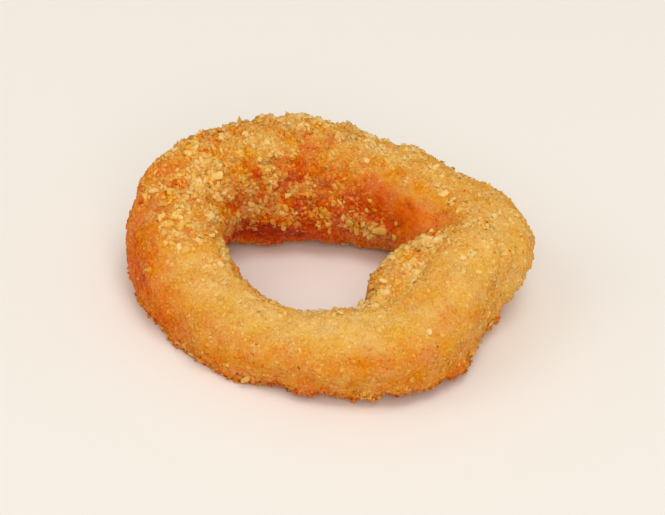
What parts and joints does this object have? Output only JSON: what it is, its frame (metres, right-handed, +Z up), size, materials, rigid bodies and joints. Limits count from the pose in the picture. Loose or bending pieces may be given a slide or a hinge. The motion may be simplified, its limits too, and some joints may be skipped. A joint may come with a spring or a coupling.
{
  "type": "onion ring",
  "caption": "Fried onion ring in a golden breadcrumb crust, lying flat: an uneven rounded loop with an open middle and a craggy, crumbed surface.",
  "frame": {"origin": "on the table, under the middle of the ring's bounding box", "axes": "+X along the ring's longest way, +Y towards its higher side, +Z up"},
  "size_m": [0.076, 0.066, 0.025],
  "materials": {
    "crust": "golden fried breadcrumbs, dry and matte with a faint gloss of oil"
  },
  "bodies": {
    "root": {"onion_ring": "crust"}
  },
  "joints": []
}
